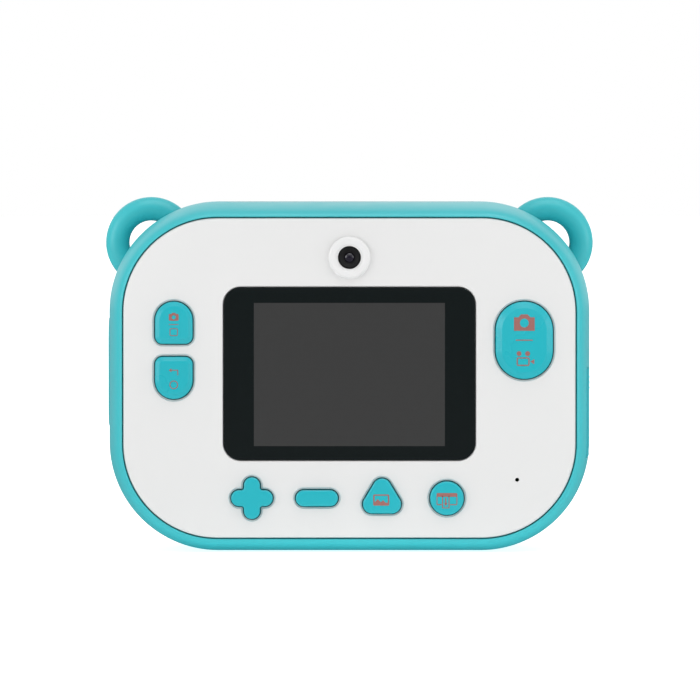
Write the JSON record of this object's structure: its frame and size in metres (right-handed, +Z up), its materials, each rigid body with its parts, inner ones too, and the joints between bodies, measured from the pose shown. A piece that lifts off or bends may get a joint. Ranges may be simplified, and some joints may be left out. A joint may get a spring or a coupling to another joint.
{
  "type": "instant-print camera",
  "caption": "Child's digital camera with a rounded case, ear-like strap loops, rear screen and keys, front lens, hinged paper door and a geared roll printer inside.",
  "frame": {"origin": "on the ground under the middle of the camera's bounding box", "axes": "+Z up; +Y out of the main lens; the screen and keys face -Y; +X to the right for someone reading the screen"},
  "size_m": [0.1262, 0.054, 0.091],
  "materials": {
    "teal_plastic": "moulded satin plastic, turquoise",
    "key_plastic": "moulded satin plastic, deeper turquoise, with printed symbols",
    "white_plastic": "moulded satin plastic, white",
    "window_plastic": "clear sheet printed black on the back, polished",
    "black_plastic": "black moulded plastic",
    "ivory_plastic": "natural moulded plastic",
    "gear_plastic": "natural acetal",
    "display_glass": "liquid crystal panel in its frame, switched off",
    "circuit_board": "green solder mask",
    "gasket_foam": "black closed-cell foam",
    "cover_rubber": "soft turquoise rubber",
    "platen_rubber": "dark silicone rubber",
    "paper": "thermal paper",
    "battery_wrap": "laminated foil pouch",
    "bare_steel": "zinc-plated steel",
    "head_aluminium": "aluminium heat sink with a ceramic strip"
  },
  "bodies": {
    "camera_body": {"rear_shell": "teal_plastic", "front_shell": "teal_plastic", "strap_loop_left": "teal_plastic", "strap_loop_right": "teal_plastic", "speaker_grille": "teal_plastic", "lens_ring": "teal_plastic", "rear_panel": "white_plastic", "front_panel": "white_plastic", "selfie_ring": "white_plastic", "paper_exit": "white_plastic", "screen_window": "window_plastic", "lens_cover": "window_plastic", "flash_window": "window_plastic", "mode_switch": "black_plastic", "back_switch": "black_plastic", "shutter_switch": "black_plastic", "plus_switch": "black_plastic", "minus_switch": "black_plastic", "gallery_switch": "black_plastic", "print_switch": "black_plastic", "selfie_lens": "black_plastic", "selfie_module": "black_plastic", "lens_baffle": "black_plastic", "lens_barrel": "black_plastic", "speaker": "black_plastic", "roll_bay": "ivory_plastic", "lcd_module": "display_glass", "main_board": "circuit_board", "sensor_board": "circuit_board", "screen_gasket": "gasket_foam", "paper_web": "paper", "battery_pack": "battery_wrap", "board_screw_1": "bare_steel", "board_screw_2": "bare_steel", "case_screw_1": "bare_steel", "case_screw_2": "bare_steel", "case_screw_3": "bare_steel", "case_screw_4": "bare_steel", "usb_socket": "bare_steel", "card_socket": "bare_steel", "printer_frame": "bare_steel", "head_spring_left": "bare_steel", "head_spring_right": "bare_steel", "feed_motor": "bare_steel", "print_head": "head_aluminium"},
    "paper_door": {"paper_door": "teal_plastic"},
    "paper_roll": {"paper_roll": "paper"},
    "platen": {"platen_shaft": "bare_steel", "platen_roller": "platen_rubber", "platen_gear": "gear_plastic"},
    "reducer": {"reducer_gear": "gear_plastic"},
    "pinion": {"motor_pinion": "gear_plastic"},
    "port_cover": {"port_cover": "cover_rubber"},
    "mode_key": {"mode_key": "key_plastic"},
    "back_key": {"back_key": "key_plastic"},
    "shutter_key": {"shutter_key": "key_plastic"},
    "plus_key": {"plus_key": "key_plastic"},
    "minus_key": {"minus_key": "key_plastic"},
    "gallery_key": {"gallery_key": "key_plastic"},
    "print_key": {"print_key": "key_plastic"}
  },
  "joints": [
    {"name": "mode_key_press", "type": "slide", "parent": "camera_body", "child": "mode_key", "axis": [0, 1, 0], "range_m": [0, 0.0006], "stiffness_N_per_m": 2000, "springref_m": -0.0002},
    {"name": "back_key_press", "type": "slide", "parent": "camera_body", "child": "back_key", "axis": [0, 1, 0], "range_m": [0, 0.0006], "stiffness_N_per_m": 2000, "springref_m": -0.0002},
    {"name": "shutter_key_press", "type": "slide", "parent": "camera_body", "child": "shutter_key", "axis": [0, 1, 0], "range_m": [0, 0.0006], "stiffness_N_per_m": 2000, "springref_m": -0.0002},
    {"name": "plus_key_press", "type": "slide", "parent": "camera_body", "child": "plus_key", "axis": [0, 1, 0], "range_m": [0, 0.0006], "stiffness_N_per_m": 2000, "springref_m": -0.0002},
    {"name": "minus_key_press", "type": "slide", "parent": "camera_body", "child": "minus_key", "axis": [0, 1, 0], "range_m": [0, 0.0006], "stiffness_N_per_m": 2000, "springref_m": -0.0002},
    {"name": "gallery_key_press", "type": "slide", "parent": "camera_body", "child": "gallery_key", "axis": [0, 1, 0], "range_m": [0, 0.0006], "stiffness_N_per_m": 2000, "springref_m": -0.0002},
    {"name": "print_key_press", "type": "slide", "parent": "camera_body", "child": "print_key", "axis": [0, 1, 0], "range_m": [0, 0.0006], "stiffness_N_per_m": 2000, "springref_m": -0.0002},
    {"name": "paper_door_hinge", "type": "hinge", "parent": "camera_body", "child": "paper_door", "pos_m": [0, 0.019, 0.0117], "axis": [-1, 0, 0], "range_deg": [0, 85]},
    {"name": "port_cover_hinge", "type": "hinge", "parent": "camera_body", "child": "port_cover", "pos_m": [0.06075, -0.0161, 0.0251], "axis": [0, 1, 0], "range_deg": [0, 95]},
    {"name": "platen_spin", "type": "hinge", "parent": "camera_body", "child": "platen", "pos_m": [0, 0.0026, 0.075], "axis": [1, 0, 0], "continuous": true},
    {"name": "reducer_spin", "type": "hinge", "parent": "camera_body", "child": "reducer", "pos_m": [-0.034, -0.0034, 0.067], "axis": [1, 0, 0], "continuous": true},
    {"name": "pinion_spin", "type": "hinge", "parent": "camera_body", "child": "pinion", "pos_m": [-0.035, 0.0026, 0.059], "axis": [1, 0, 0], "continuous": true},
    {"name": "paper_roll_spin", "type": "hinge", "parent": "camera_body", "child": "paper_roll", "pos_m": [0, 0.0037, 0.026], "axis": [1, 0, 0], "continuous": true}
  ],
  "couplings": [
    {"joint": "platen_spin", "follows": "paper_roll_spin", "ratio": 3.1111},
    {"joint": "reducer_spin", "follows": "paper_roll_spin", "ratio": -7.2593},
    {"joint": "pinion_spin", "follows": "paper_roll_spin", "ratio": 21.778}
  ]
}
